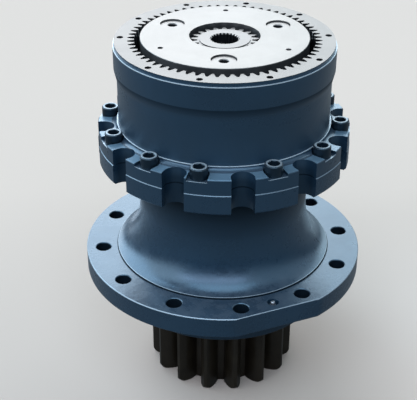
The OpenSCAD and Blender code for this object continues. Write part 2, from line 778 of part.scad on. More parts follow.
module at_lower_bearing() {
    translate([0, 0, lower_bearing_z + lower_bearing_w / 2]) children();
}

module at_upper_bearing() {
    translate([0, 0, upper_bearing_rise + upper_bearing_w / 2]) mirror([0, 0, 1]) children();
}

module lower_rollers() {
    color([0.7, 0.71, 0.72]) at_lower_bearing()
        tapered_rollers(lower_pitch_r, lower_roller_r, lower_bearing_w);
}

module upper_rollers() {
    color([0.7, 0.71, 0.72]) at_upper_bearing()
        tapered_rollers(upper_pitch_r, upper_roller_r, upper_bearing_w);
}

module lower_cage() {
    color([0.45, 0.42, 0.36]) at_lower_bearing()
        tapered_cage(lower_pitch_r, lower_roller_r, lower_bearing_w);
}

module upper_cage() {
    color([0.45, 0.42, 0.36]) at_upper_bearing()
        tapered_cage(upper_pitch_r, upper_roller_r, upper_bearing_w);
}

module lower_inner_race() {
    color([0.6, 0.61, 0.62]) at_lower_bearing()
        tapered_inner_race(lower_bore_r, lower_pitch_r, lower_roller_r, lower_bearing_w);
}

module upper_inner_race() {
    color([0.6, 0.61, 0.62]) at_upper_bearing()
        tapered_inner_race(upper_bore_r, upper_pitch_r, upper_roller_r, upper_bearing_w);
}

module lower_outer_race() {
    color([0.6, 0.61, 0.62]) at_lower_bearing()
        tapered_outer_race(lower_outer_r, lower_pitch_r, lower_roller_r, lower_bearing_w);
}

module upper_outer_race() {
    color([0.6, 0.61, 0.62]) at_upper_bearing()
        tapered_outer_race(upper_outer_r, upper_pitch_r, upper_roller_r, upper_bearing_w);
}

// Output shaft

module pinion_teeth_solid() {
    intersection() {
        translate([0, 0, pinion_bottom_z]) linear_extrude(pinion_face)
            rotate(pinion_turn) polygon(gear_outline(pinion_module, pinion_teeth, pinion_shift, 0,
                pinion_root_r, pinion_tip_r, 6));
        turned(concat(
            [[0, pinion_bottom_z], [pinion_root_r - pinion_end_round, pinion_bottom_z]],
            arc_points(pinion_tip_r - pinion_end_round, pinion_bottom_z + pinion_end_round,
                pinion_end_round, pinion_end_round, 270, 360, 6),
            arc_points(pinion_tip_r - pinion_end_round / 2, pinion_top_z - pinion_end_round / 2,
                pinion_end_round / 2, pinion_end_round / 2, 0, 90, 4),
            [[0, pinion_top_z]]));
    }
}

module pinion_shaft() {
    nut_z = upper_bearing_top_z + lock_washer_t;
    spline_z = nut_z + nut_h;
    color([0.12, 0.1, 0.09]) difference() {
        union() {
            pinion_teeth_solid();
            turned([
                [0, pinion_bottom_z + pinion_end_round],
                [sleeve_seat_r + edge, pinion_top_z - over],
                [pinion_root_r - pinion_root_relief, pinion_top_z - over],
                [pinion_root_r - pinion_root_relief, sleeve_bottom_z],
                [sleeve_seat_r, sleeve_bottom_z],
                [sleeve_seat_r, lower_bearing_z],
                [lower_bore_r, lower_bearing_z],
                [lower_bore_r, lower_bearing_top_z],
                [mid_shaft_r, lower_bearing_top_z + edge],
                [mid_shaft_r, upper_bearing_rise - over],
                [upper_bore_r, upper_bearing_rise - over],
                [upper_bore_r, upper_bearing_top_z],
                [thread_r, upper_bearing_top_z],
                [thread_r, spline_z],
                [0, spline_z]]);
            translate([0, 0, spline_z - over]) linear_extrude(shaft_end_z - spline_z + over)
                polygon(spline_outline(shaft_spline_teeth, shaft_spline_foot_r, shaft_spline_r));
        }
        translate([0, 0, carrier_ring_z()])
            tube(shaft_spline_foot_r - ring_groove_bite, shaft_spline_r + over, carrier_ring_t + fit_gap);
        translate([0, 0, pinion_bottom_z - over]) {
            cylinder(r = centre_hole_r / 2, h = centre_hole_depth + over);
            cylinder(r1 = centre_hole_r + over, r2 = 0, h = centre_hole_r + over);
        }
        translate([thread_r - keyway_depth, -keyway_w / 2, upper_bearing_top_z])
            cube([keyway_depth + over, keyway_w, spline_z - upper_bearing_top_z + over]);
    }
}

function carrier_ring_z() = second_low_plate_top_z - carrier_ring_recess;

module seal_sleeve() {
    color([0.62, 0.63, 0.64]) translate([0, 0, sleeve_bottom_z]) difference() {
        turned([
            [sleeve_seat_r + fit_gap, 0],
            [sleeve_r - edge, 0],
            [sleeve_r, edge],
            [sleeve_r, lower_bearing_z - sleeve_bottom_z - fit_gap],
            [sleeve_seat_r + fit_gap, lower_bearing_z - sleeve_bottom_z - fit_gap]]);
    }
}

// The washer's inner tongue sits in the shaft's keyway, its outer tab in a slot of the nut
module lock_washer() {
    slot_r = nut_r - nut_slot_depth + run_gap;
    tab_w = nut_slot_w - 4 * run_gap;
    tongue_w = keyway_w - 2 * run_gap;
    color([0.55, 0.56, 0.57]) translate([0, 0, upper_bearing_top_z]) {
        tube(thread_r + fit_gap, nut_r - edge, lock_washer_t - fit_gap);
        translate([thread_r - keyway_depth + run_gap, -tongue_w / 2, 0])
            cube([keyway_depth + edge, tongue_w, lock_washer_t - fit_gap]);
        translate([slot_r, -tab_w / 2, 0]) cube([lock_washer_t, tab_w, lock_washer_t + lock_tab_h]);
    }
}

module bearing_locknut() {
    color([0.5, 0.51, 0.52]) translate([0, 0, upper_bearing_top_z + lock_washer_t]) difference() {
        tube(thread_r + fit_gap, nut_r, nut_h);
        evenly(nut_slots, nut_r - nut_slot_depth) translate([0, -nut_slot_w / 2, -over])
            cube([nut_slot_depth + over, nut_slot_w, nut_h + 2 * over]);
    }
}

// Planets

module planet(a, arm, teeth, tip_r, bore_r, face, z) {
    translate([arm * cos(a), arm * sin(a), z]) difference() {
        rotate(planet_turn(a, teeth)) linear_extrude(face) polygon(gear_outline(gear_module, teeth, 0,
            tooth_play, gear_module * (teeth / 2 - dedendum_share), tip_r, 3));
        translate([0, 0, -over]) cylinder(r = bore_r, h = face + 2 * over);
    }
}

module needle_bearing(a, arm, pin_r, needle_r, face, z) {
    pitch_r = pin_r + run_gap + needle_r;
    length = face - 2 * needle_margin - 2 * needle_rail - 2 * run_gap;
    cage_h = face - 2 * needle_margin;
    window_w = 2 * (needle_r + run_gap);
    translate([arm * cos(a), arm * sin(a), z + needle_margin]) {
        evenly(needle_count, pitch_r) translate([0, 0, needle_rail + run_gap])
            cylinder(r = needle_r, h = length);
        difference() {
            tube(pitch_r - needle_cage_t / 2, pitch_r + needle_cage_t / 2, cage_h);
            evenly(needle_count, pitch_r) translate([-needle_cage_t, -window_w / 2, needle_rail])
                cube([2 * needle_cage_t, window_w, length + 2 * run_gap]);
        }
    }
}

module first_planet(k) {
    color([0.68, 0.69, 0.7]) planet(first_planet_angle(k), first_arm, first_planet_teeth, first_planet_tip_r,
        first_planet_bore_r, first_face, first_planet_z);
}

module second_planet(k) {
    color([0.68, 0.69, 0.7]) planet(second_planet_angle(k), second_arm, second_planet_teeth,
        second_planet_tip_r, second_planet_bore_r, second_face, second_planet_z);
}

module first_needles(k) {
    color([0.75, 0.76, 0.77]) needle_bearing(first_planet_angle(k), first_arm, first_pin_r, first_needle_r,
        first_face, first_planet_z);
}

module second_needles(k) {
    color([0.75, 0.76, 0.77]) needle_bearing(second_planet_angle(k), second_arm, second_pin_r,
        second_needle_r, second_face, second_planet_z);
}

module first_thrust_washers() {
    color([0.78, 0.6, 0.32]) evenly(first_planet_count, first_arm, first_carrier_turn)
        for (z = [first_low_plate_top_z, first_planet_top_z + run_gap])
            translate([0, 0, z]) tube(first_pin_r + fit_gap, first_planet_bore_r + washer_rim, washer_t);
}

module second_thrust_washers() {
    color([0.78, 0.6, 0.32]) evenly(second_planet_count, second_arm, second_carrier_turn)
        for (z = [second_low_plate_top_z, second_planet_top_z + run_gap])
            translate([0, 0, z])
                tube(second_pin_r + fit_gap, second_planet_bore_r + washer_rim, second_washer_t);
}

// Hole across a planet pin and its plate for a spring pin, from the plate's rim inwards
module lock_hole(arm, rim_r, z, r) {
    translate([arm - lock_pin_bite, 0, z]) rotate([0, 90, 0])
        cylinder(r = r, h = rim_r - arm + lock_pin_bite + over);
}

module lock_pin(arm, rim_r, z) {
    length = rim_r - arm + lock_pin_bite - 2 * edge;
    translate([arm - lock_pin_bite + fit_gap, 0, z]) rotate([0, 90, 0]) difference() {
        tube(lock_pin_r - lock_pin_wall, lock_pin_r - fit_gap, length);
        translate([-lock_pin_r - over, -lock_pin_slot / 2, -over])
            cube([lock_pin_r + over, lock_pin_slot, length + 2 * over]);
    }
}

module first_pin_locks() {
    color([0.4, 0.4, 0.42]) evenly(first_planet_count, 0, first_carrier_turn)
        lock_pin(first_arm, first_carrier_r, first_low_plate_z + first_low_plate_t / 2);
}

module second_pin_locks() {
    color([0.4, 0.4, 0.42]) evenly(second_planet_count, 0, second_carrier_turn)
        lock_pin(second_arm, second_carrier_r, second_low_plate_z + second_low_plate_t / 2);
}

module first_planet_pins() {
    top = first_top_z - first_pin_recess;
    length = top - first_low_plate_z;
    color([0.72, 0.73, 0.74]) evenly(first_planet_count, 0, first_carrier_turn) difference() {
        translate([first_arm, 0, first_low_plate_z]) turned([
            [0, 0], [first_pin_r - pin_chamfer, 0], [first_pin_r, pin_chamfer], [first_pin_r, length - edge],
            [first_pin_r - edge, length], [0, length]]);
        translate([first_arm, 0, top]) {
            translate([0, 0, -pin_thread_depth]) cylinder(r = pin_thread_r, h = pin_thread_depth + over);
            translate([0, 0, -pin_thread_chamfer])
                cylinder(r1 = pin_thread_r, r2 = pin_thread_r + 2 * pin_thread_chamfer,
                    h = 2 * pin_thread_chamfer);
        }
        lock_hole(first_arm, first_carrier_r, first_low_plate_z + first_low_plate_t / 2, lock_pin_r);
    }
}

module second_planet_pins() {
    length = second_top_z - second_low_plate_z;
    color([0.72, 0.73, 0.74]) evenly(second_planet_count, 0, second_carrier_turn) difference() {
        translate([second_arm, 0, second_low_plate_z]) turned([
            [0, 0], [second_pin_r - pin_chamfer, 0], [second_pin_r, pin_chamfer],
            [second_pin_r, length - pin_chamfer], [second_pin_r - pin_chamfer, length], [0, length]]);
        translate([second_arm, 0, second_top_z - pin_thread_depth])
            cylinder(r = pin_thread_r, h = pin_thread_depth + over);
        lock_hole(second_arm, second_carrier_r, second_low_plate_z + second_low_plate_t / 2, lock_pin_r);
    }
}

// Carriers

module planet_windows(count, arm, tip_r, turn, low, high) {
    evenly(count, arm, turn) translate([0, 0, low]) {
        cylinder(r = tip_r + planet_room, h = high - low);
        translate([0, -tip_r - planet_room, 0]) cube([tip_r * 2, 2 * (tip_r + planet_room), high - low]);
    }
}

module first_carrier() {
    low = first_low_plate_top_z;
    high = first_top_z - first_top_plate_t;
    color([0.78, 0.79, 0.8]) difference() {
        union() {
            turned([
                [0, first_low_plate_z],
                [first_carrier_r, first_low_plate_z],
                [first_carrier_r, first_top_z - edge / 2],
                [first_carrier_r - edge / 2, first_top_z],
                [0, first_top_z]]);
            translate([0, 0, first_hub_z]) cylinder(r = sun_shaft_r + 3 * web_rim, h = hub_drop + over);
        }
        planet_windows(first_planet_count, first_arm, first_planet_tip_r, first_carrier_turn, low, high);
        translate([0, 0, low - sun_ring_recess])
            cylinder(r = sun_shaft_r + 2 * web_rim, h = sun_ring_recess + over);
        rotate(first_carrier_turn) translate([0, 0, low])
            cylinder(r = first_carrier_bore_r, h = first_top_z - low + over);
        translate([0, 0, first_hub_z - over]) linear_extrude(low - first_hub_z + over)
            polygon(spline_outline(sun_shaft_spline_teeth, sun_shaft_foot_r + fit_gap,
                sun_shaft_r + fit_gap));
        evenly(first_planet_count, first_arm, first_carrier_turn) translate([0, 0, first_low_plate_z - over])
            cylinder(r = first_pin_r + fit_gap, h = first_top_z - first_low_plate_z + 2 * over);
        evenly(first_planet_count, 0, first_carrier_turn)
            lock_hole(first_arm, first_carrier_r, first_low_plate_z + first_low_plate_t / 2, lock_pin_r);
        evenly(first_planet_count, puller_hole_circle_r, first_carrier_turn + 180 / first_planet_count)
            translate([0, 0, first_top_z - puller_hole_depth])
                cylinder(r = puller_hole_r, h = puller_hole_depth + over);
    }
}

module second_carrier() {
    low = second_low_plate_top_z;
    high = second_top_z - second_top_plate_t;
    color([0.5, 0.5, 0.5]) difference() {
        union() {
            translate([0, 0, second_low_plate_z])
                cylinder(r = second_carrier_r, h = second_top_z - second_low_plate_z);
            translate([0, 0, second_hub_z]) cylinder(r = second_hub_r, h = second_hub_drop + over);
        }
        planet_windows(second_planet_count, second_arm, second_planet_tip_r, second_carrier_turn, low, high);
        translate([0, 0, low - carrier_ring_recess])
            cylinder(r = shaft_spline_r + carrier_ring_w, h = carrier_ring_recess + over);
        translate([0, 0, low])
            cylinder(r = second_sun_tip_r + 2 * planet_room, h = second_top_z - low + over);
        translate([0, 0, second_hub_z - over]) linear_extrude(low - second_hub_z + over)
            polygon(spline_outline(shaft_spline_teeth, shaft_spline_foot_r + fit_gap,
                shaft_spline_r + fit_gap));
        evenly(second_planet_count, second_arm, second_carrier_turn)
            translate([0, 0, second_low_plate_z - over])
                cylinder(r = second_pin_r + fit_gap, h = second_top_z - second_low_plate_z + 2 * over);
        evenly(second_planet_count, 0, second_carrier_turn)
            lock_hole(second_arm, second_carrier_r, second_low_plate_z + second_low_plate_t / 2, lock_pin_r);
    }
}

// A retaining ring with a gap, in its groove
module retaining_ring(inner_r, outer_r, t) {
    difference() {
        tube(inner_r, outer_r, t);
        translate([0, -sun_ring_gap_w / 2, -over]) cube([outer_r + over, sun_ring_gap_w, t + 2 * over]);
    }
}

module carrier_retaining_ring() {
    inner = shaft_spline_foot_r - ring_groove_bite + fit_gap;
    color([0.35, 0.35, 0.36]) translate([0, 0, carrier_ring_z() + fit_gap / 2])
        retaining_ring(inner, inner + carrier_ring_w, carrier_ring_t);
}

module shaft_thrust_washer() {
    color([0.78, 0.6, 0.32]) translate([0, 0, shaft_end_z])
        tube(shaft_washer_bore_r, shaft_washer_r, shaft_washer_t);
}

// Suns

function sun_ring_z() = first_low_plate_top_z - sun_ring_recess;

module second_sun() {
    a = sun_turn(second_planet_angle(0), second_planet_teeth, second_sun_teeth);
    end_z = first_low_plate_top_z + run_gap;
    groove_r = sun_shaft_foot_r - ring_groove_bite;
    color([0.6, 0.6, 0.61]) difference() {
        union() {
            translate([0, 0, second_planet_z]) rotate(a) linear_extrude(second_face) polygon(gear_outline(
                gear_module, second_sun_teeth, 0, tooth_play,
                gear_module * (second_sun_teeth / 2 - dedendum_share), second_sun_tip_r, 3));
            translate([0, 0, second_planet_z]) cylinder(r = sun_shaft_neck_r, h = end_z - second_planet_z);
            translate([0, 0, first_hub_z]) linear_extrude(end_z - first_hub_z)
                polygon(spline_outline(sun_shaft_spline_teeth, sun_shaft_foot_r, sun_shaft_r));
        }
        translate([0, 0, sun_ring_z()]) tube(groove_r, sun_shaft_r + over, sun_ring_t + fit_gap);
        translate([0, 0, second_planet_z - over])
            cylinder(r = sun_washer_bore_r, h = end_z - second_planet_z + 2 * over);
    }
}

module second_sun_ring() {
    inner = sun_shaft_foot_r - ring_groove_bite + fit_gap;
    color([0.35, 0.35, 0.36]) translate([0, 0, sun_ring_z() + fit_gap / 2])
        retaining_ring(inner, inner + sun_ring_w, sun_ring_t);
}

module sun_thrust_washer() {
    color([0.78, 0.6, 0.32]) translate([0, 0, first_low_plate_top_z + run_gap])
        tube(sun_washer_bore_r, sun_washer_r, sun_washer_t);
}

module first_sun() {
    a = sun_turn(first_planet_angle(0), first_planet_teeth, first_sun_teeth);
    low = first_low_plate_top_z + 2 * run_gap + sun_washer_t;
    top = first_sun_top_z + first_sun_hub_h;
    color([0.78, 0.79, 0.8]) difference() {
        union() {
            translate([0, 0, low]) rotate(a) linear_extrude(first_sun_top_z - low) polygon(gear_outline(
                gear_module, first_sun_teeth, 0, tooth_play,
                gear_module * (first_sun_teeth / 2 - dedendum_share), first_sun_tip_r, 3));
            translate([0, 0, low]) cylinder(r = first_sun_hub_r, h = top - low);
        }
        translate([0, 0, low - over]) rotate(a) linear_extrude(top - low + 2 * over)
            polygon(spline_outline(motor_spline_teeth, motor_spline_r - motor_spline_depth, motor_spline_r));
        translate([0, 0, top - motor_spline_chamfer]) cylinder(r1 = motor_spline_r - motor_spline_depth,
            r2 = motor_spline_r + over, h = motor_spline_chamfer + over);
    }
}

ring_gear();
lower_housing();
joint_bolts();
case_o_ring();
grease_nipple();
oil_seal();
lower_outer_race();
upper_outer_race();
pinion_shaft();
seal_sleeve();
lower_inner_race();
upper_inner_race();
lock_washer();
bearing_locknut();
second_carrier();
second_planet_pins();
second_pin_locks();
second_thrust_washers();
carrier_retaining_ring();
shaft_thrust_washer();
lower_rollers();
lower_cage();
upper_rollers();
upper_cage();
second_planet(0);  // second_planet_1
second_planet(1);  // second_planet_2
second_planet(2);  // second_planet_3
second_planet(3);  // second_planet_4
second_needles(0);  // second_needles_1
second_needles(1);  // second_needles_2
second_needles(2);  // second_needles_3
second_needles(3);  // second_needles_4
first_carrier();
first_planet_pins();
first_pin_locks();
first_thrust_washers();
second_sun();
second_sun_ring();
sun_thrust_washer();
first_planet(0);  // first_planet_1
first_planet(1);  // first_planet_2
first_planet(2);  // first_planet_3
first_needles(0);  // first_needles_1
first_needles(1);  // first_needles_2
first_needles(2);  // first_needles_3
first_sun();
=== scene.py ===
import json
import math

import bmesh
import bpy
from mathutils import Matrix, Vector

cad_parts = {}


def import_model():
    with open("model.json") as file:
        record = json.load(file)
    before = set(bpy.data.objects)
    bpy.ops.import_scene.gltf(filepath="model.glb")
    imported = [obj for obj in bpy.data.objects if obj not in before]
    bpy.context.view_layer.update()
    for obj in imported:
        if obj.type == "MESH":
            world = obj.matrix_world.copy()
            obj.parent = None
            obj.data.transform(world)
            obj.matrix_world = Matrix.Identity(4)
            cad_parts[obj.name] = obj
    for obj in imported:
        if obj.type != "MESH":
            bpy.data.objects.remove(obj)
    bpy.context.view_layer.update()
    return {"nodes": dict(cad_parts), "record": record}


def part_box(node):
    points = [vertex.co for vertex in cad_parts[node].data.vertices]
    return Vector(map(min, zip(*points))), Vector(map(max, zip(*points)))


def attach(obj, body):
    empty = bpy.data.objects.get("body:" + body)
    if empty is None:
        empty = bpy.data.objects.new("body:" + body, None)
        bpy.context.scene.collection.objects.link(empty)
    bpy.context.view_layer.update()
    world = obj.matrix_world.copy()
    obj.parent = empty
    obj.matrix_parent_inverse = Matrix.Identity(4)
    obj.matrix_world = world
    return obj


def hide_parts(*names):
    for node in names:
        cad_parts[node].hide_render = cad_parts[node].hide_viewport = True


MM = 0.001

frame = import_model()
nodes = frame["nodes"]
body_of = {n: b for b, members in frame["record"]["behaviour"]["bodies"].items() for n in members}
slot_of = {s["node"]: s["material_slot"] for s in frame["record"]["subparts"]}
scene = bpy.context.scene


# Node helpers

# The low and the high end of what the noises give
CLOUD = (0.35, 0.65)
WIDE_CLOUD = (0.3, 0.7)
SCUFFS = (0.42, 0.62)


class Nodes:
    """The node tree of one material or world, with short ways to add and join nodes."""

    def __init__(self, owner, output="OutputMaterial"):
        owner.use_nodes = True
        self.owner = owner
        self.tree = owner.node_tree
        self.tree.nodes.clear()
        self.output = self.add(output)

    def add(self, kind, inputs=None, **settings):
        made = self.tree.nodes.new("ShaderNode" + kind)
        for key, value in settings.items():
            setattr(made, key, value)
        for key, value in (inputs or {}).items():
            self.put(made, key, value)
        return made

    def put(self, made, key, value):
        """Give an input a constant, or link it to a socket or to a node's first output."""
        target = made.inputs[key]
        if isinstance(value, bpy.types.Node):
            value = value.outputs[0]
        if isinstance(value, bpy.types.NodeSocket):
            self.tree.links.new(value, target)
        elif target.type == "RGBA":
            target.default_value = (*value, 1)
        else:
            target.default_value = value

    def source(self, made, key):
        """The socket that feeds an input now."""
        return made.inputs[key].links[0].from_socket

    def math(self, operation, a, b=None, clamp=False):
        made = self.add("Math", operation=operation, use_clamp=clamp)
        self.put(made, 0, a)
        if b is not None:
            self.put(made, 1, b)
        return made

    def plus(self, a, b):
        return self.math("ADD", a, b)

    def times(self, a, b):
        return self.math("MULTIPLY", a, b)

    def above(self, value, level):
        return self.math("GREATER_THAN", value, level)

    def below(self, value, level):
        return self.math("LESS_THAN", value, level)

    def within(self, value, low, high):
        made = self.math("COMPARE", value, (low + high) / 2)
        self.put(made, 2, (high - low) / 2)
        return made

    def most(self, first, *others):
        """The highest of some values, which joins masks."""
        for other in others:
            first = self.math("MAXIMUM", first, other)
        return first

    def inside(self, a, b, *boxes):
        """1 where a and b lie in one of the boxes: lowest a, highest a, lowest b, highest b."""
        return self.most(*[self.times(self.within(a, a_low, a_high), self.within(b, b_low, b_high))
                           for a_low, a_high, b_low, b_high in boxes])

    def span(self, value, low, high, to_low=0.0, to_high=1.0, **settings):
        ends = {"From Min": low, "From Max": high, "To Min": to_low, "To Max": to_high}
        return self.add("MapRange", {"Value": value, **ends}, **settings)

    def position(self):
        return self.add("TexCoord").outputs["Object"]

    def parts(self):
        """x, y and z of the point."""
        return tuple(self.add("SeparateXYZ", {0: self.position()}).outputs)

    def radius(self, x, y):
        return self.math("SQRT", self.plus(self.times(x, x), self.times(y, y)))

    def upward(self):
        """z of the face's normal: 1 where it looks straight up."""
        return self.add("SeparateXYZ", {0: self.add("NewGeometry").outputs["Normal"]}).outputs[2]

    def noise(self, scale, detail=3.0, roughness=0.55, vector=None):
        if vector is None:
            vector = self.position()
        return self.add("TexNoise", {"Vector": vector, "Scale": scale, "Detail": detail,
                                     "Roughness": roughness})

    def bump(self, height, strength, distance):
        return self.add("Bump", {"Height": height, "Strength": strength, "Distance": distance})

    def mix(self, share, a, b):
        """One colour over another."""
        made = self.add("Mix", data_type="RGBA")
        self.put(made, 0, share)
        self.put(made, 6, a)
        self.put(made, 7, b)
        return made.outputs[2]

    def clouded(self, cloud, colour, low, high):
        """A colour that runs from low to high times itself with a noise."""
        dim = [part * low for part in colour]
        bright = [part * high for part in colour]
        return self.mix(self.span(cloud, *CLOUD), dim, bright)

    def blend(self, share, a, b):
        """One shader over another."""
        return self.add("MixShader", {0: share, 1: a, 2: b})

    def surface(self, shader):
        self.put(self.output, "Surface", shader)
        return self.owner


# Shaders

PAINT_TONE = (0.010, 0.027, 0.048)
PAINT_ROUGH = 0.29
PAINT_SPECULAR = 0.75
PAINT_TINT = (0.42, 0.74, 1.0)
PAINT_COAT = 0.4
PAINT_COAT_ROUGH = 0.3
CAST_DEPTH = 0.6 * MM
# What dust, with painted light that makes faces looking up lighter, adds to the paint, and the upward
# slopes between which it is added
DUST_AND_TOP_LIGHT = 0.022
DUST_AND_TOP_LIGHT_SLOPE = (0.35, 0.95)
# How much smoother and rougher than its mean each finish gets with the clouds of its noise
PAINT_SPREAD = (-0.03, 0.05)
STEEL_SPREAD = (-0.05, 0.06)
OILY_SPREAD = (-0.06, 0.08)
# Scuffs change the roughness by this much of their share
SCUFF_ROUGH = 0.12


def spread(rough, off):
    return rough + off[0], rough + off[1]


def paint_shader(t, colour=PAINT_TONE, rough=PAINT_ROUGH, grain=0.3, scuffed=0.15):
    """Satin paint on a cast surface, with scuffed dust and painted light on the faces that look up."""
    cloud = t.noise(scale=9.0, detail=4.0)
    cast = t.noise(scale=110.0, roughness=0.6)
    scuffs = t.noise(scale=55.0, detail=8.0, roughness=0.75)
    tone = t.clouded(cloud, colour, 0.9, 1.1)
    worn = t.span(scuffs, *SCUFFS, 1 - scuffed, 1 + scuffed)
    # Dust and painted light: faces that look up are made lighter
    dust_and_light = t.add("VectorMath", {0: (DUST_AND_TOP_LIGHT, DUST_AND_TOP_LIGHT, DUST_AND_TOP_LIGHT), "Scale": worn}, operation="SCALE")
    with_dust_and_light = t.add("VectorMath", {0: tone, 1: dust_and_light}, operation="ADD")
    dusty_and_lit = t.mix(t.span(t.upward(), *DUST_AND_TOP_LIGHT_SLOPE), tone, with_dust_and_light)
    matt = t.plus(t.span(cloud, *WIDE_CLOUD, *spread(rough, PAINT_SPREAD)),
                  t.span(scuffs, *SCUFFS, -SCUFF_ROUGH * scuffed, SCUFF_ROUGH * scuffed))
    return t.add("BsdfPrincipled", {
        "Base Color": dusty_and_lit, "Metallic": 0.0, "Roughness": matt, "IOR": 1.5,
        "Specular IOR Level": PAINT_SPECULAR, "Specular Tint": PAINT_TINT,
        "Coat Weight": PAINT_COAT, "Coat Roughness": PAINT_COAT_ROUGH,
        "Normal": t.bump(cast, grain, CAST_DEPTH)})


# Marks of the turning tool: the step between rings, how they change with height, and their depth
TURNED_STEP = 0.35 * MM
TURNED_ALONG = 40.0
TURNED_STRENGTH = 0.25
TURNED_DEPTH = 0.04 * MM


def steel_shader(t, colour, rough):
    """Bright steel with fine turned rings round the axis."""
    x, y, z = t.parts()
    rings = t.math("DIVIDE", t.radius(x, y), TURNED_STEP)
    turned = t.add("CombineXYZ", {0: rings, 1: t.times(z, TURNED_ALONG)})
    lines = t.noise(scale=1.0, detail=2.0, roughness=0.6, vector=turned)
    return t.add("BsdfPrincipled", {
        "Base Color": t.clouded(t.noise(scale=22.0), colour, 0.93, 1.0), "Metallic": 1.0,
        "Roughness": t.span(lines, *WIDE_CLOUD, *spread(rough, STEEL_SPREAD)),
        "Normal": t.bump(lines, TURNED_STRENGTH, TURNED_DEPTH)})


OIL_COAT = 0.4
OIL_COAT_ROUGH = 0.18
FINE_STRENGTH = 0.15
FINE_DEPTH = 0.1 * MM


def oily_shader(t, colour, rough, metal=0.6):
    """A fine surface under a film of oil."""
    cloud = t.noise(scale=35.0, detail=4.0)
    return t.add("BsdfPrincipled", {
        "Base Color": t.clouded(cloud, colour, 0.8, 1.2), "Metallic": metal,
        "Roughness": t.span(cloud, *WIDE_CLOUD, *spread(rough, OILY_SPREAD)),
        "Coat Weight": OIL_COAT, "Coat Roughness": OIL_COAT_ROUGH,
        "Normal": t.bump(t.noise(scale=900.0), FINE_STRENGTH, FINE_DEPTH)})


FLANK_TONE = (0.022, 0.024, 0.027)
# The upward slopes between which an oiled flank turns into a machined face
FACE_SLOPE = (0.55, 0.85)


def flank_shader(t, colour=FLANK_TONE):
    """Dark oiled steel, as of tooth flanks and bores."""
    return oily_shader(t, colour, 0.42, 0.7)


def faced_shader(t, colour, rough, flank=FLANK_TONE):
    """Turned steel on the faces that look up, and dark oiled steel on the others."""
    face = t.span(t.upward(), *FACE_SLOPE)
    return t.blend(face, flank_shader(t, flank), steel_shader(t, colour, rough))


def highlight_shader(t):
    """Pale metal laid along an edge as a painted highlight."""
    return t.add("BsdfPrincipled", {
        "Base Color": (0.60, 0.70, 0.76), "Metallic": 0.25, "Roughness": 0.4})


# What painted shade, and the dark seam at the joint, make of the paint
SHADE_AND_SEAM_TONE = (0.002, 0.005, 0.009)
SHADE_AND_SEAM_ROUGH = 0.3
SHADE_AND_SEAM_SPECULAR = 0.3
# The share of painted shade and seam that takes all of the coat's gloss away
SHADE_AND_SEAM_DULL = 0.9


def shaded_paint(t, shade_and_seam, **finish):
    """Paint darkened by a share of painted shade, as in notches and under ledges, and by the dark seam
    at the joint.
    """
    made = paint_shader(t, **finish)
    t.put(made, "Base Color", t.mix(shade_and_seam, t.source(made, "Base Color"), SHADE_AND_SEAM_TONE))
    t.put(made, "Roughness", t.plus(t.source(made, "Roughness"), t.times(shade_and_seam, SHADE_AND_SEAM_ROUGH)))
    t.put(made, "Specular IOR Level", t.span(shade_and_seam, 0.0, 1.0, PAINT_SPECULAR, SHADE_AND_SEAM_SPECULAR))
    t.put(made, "Coat Weight", t.span(shade_and_seam, 0.0, SHADE_AND_SEAM_DULL, PAINT_COAT, 0.0))
    return made


# Sizes of the two cases, as in the part's source, for the finishes that change over one solid

LUG_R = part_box("ring_gear")[1][0]
TOP_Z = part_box("ring_gear")[1][2]
FLANGE_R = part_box("lower_housing")[1][0]
FLAT_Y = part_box("lower_housing")[0][1]
NIPPLE_LOW, NIPPLE_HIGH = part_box("grease_nipple")
SCREW_TOP_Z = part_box("joint_bolts")[1][2]
JOINT_Z = 205 * MM
LUG_TOP_Z = JOINT_Z + 22.3 * MM
LUG_BOTTOM_Z = JOINT_Z - 29.5 * MM
SEAT_Z = LUG_TOP_Z - 4.8 * MM
WALL_R = LUG_R - 28.9 * MM
COLLAR_R = WALL_R + 2.3 * MM
COLLAR_Z = LUG_TOP_Z + 5.8 * MM
BAND_R = WALL_R + 3.9 * MM
LEDGE_Z = TOP_Z - 5.2 * MM
BAND_END_Z = LEDGE_Z - 31.3 * MM
HOLES_R = FLANGE_R - 24.5 * MM
RIM_R = HOLES_R - 21.8 * MM
FLANGE_T = 30 * MM
RIM_Z = FLANGE_T + 2.4 * MM

# The upper case is bore and teeth inside the first radius, and its lugs are flat outside the second
INNER_R = 146.5 * MM
LUG_FLAT_R = LUG_R - 19 * MM
# Painted light: the tone of the flat outer lug tops, lighter than the paint for the light they catch
LUG_TOP_PAINTED_LIGHT = (0.09, 0.152, 0.205)
TOP_STEEL = (0.29, 0.262, 0.242)
TOP_ROUGH = 0.52
BARE_STEEL = (0.05, 0.05, 0.052)
SCREW_TONE = (0.004, 0.009, 0.015)
SCREW_ROUGH = 0.36
# From this share of a notch's painted shade the lower seam is dark
SEAM_FROM = 0.3
# From these slopes a face counts as looking up or down
FACES_UP = 0.3
FACES_DOWN = -0.5
# How deep a face's own finish reaches, how far the dark seam goes from the joint, and half the width
# of a painted highlight line along an edge
SKIN = 0.2 * MM
TOP_SKIN = 0.3 * MM
SEAM = 0.9 * MM
LINE = 1.1 * MM
# How far the painted shade in the holes reaches to each side of their circle, and the nipple's recess,
# which it spares, to each side of it
HOLE_REACH = 12 * MM
RECESS_REACH = 8 * MM

# Where painted shade sets in and where it is full: into the notches (the dark seam reaches as far in),
# down them, up to the band and to the lugs
NOTCH_SHADE_AND_SEAM_R = (LUG_R - 2 * MM, LUG_R - 9 * MM)
NOTCH_SHADE_Z = (JOINT_Z + 17 * MM, JOINT_Z + 8 * MM)
BAND_SHADE_Z = (BAND_END_Z - 12 * MM, BAND_END_Z - 2 * MM)
LUG_SHADE_Z = (LUG_BOTTOM_Z - 75 * MM, LUG_BOTTOM_Z - 20 * MM)
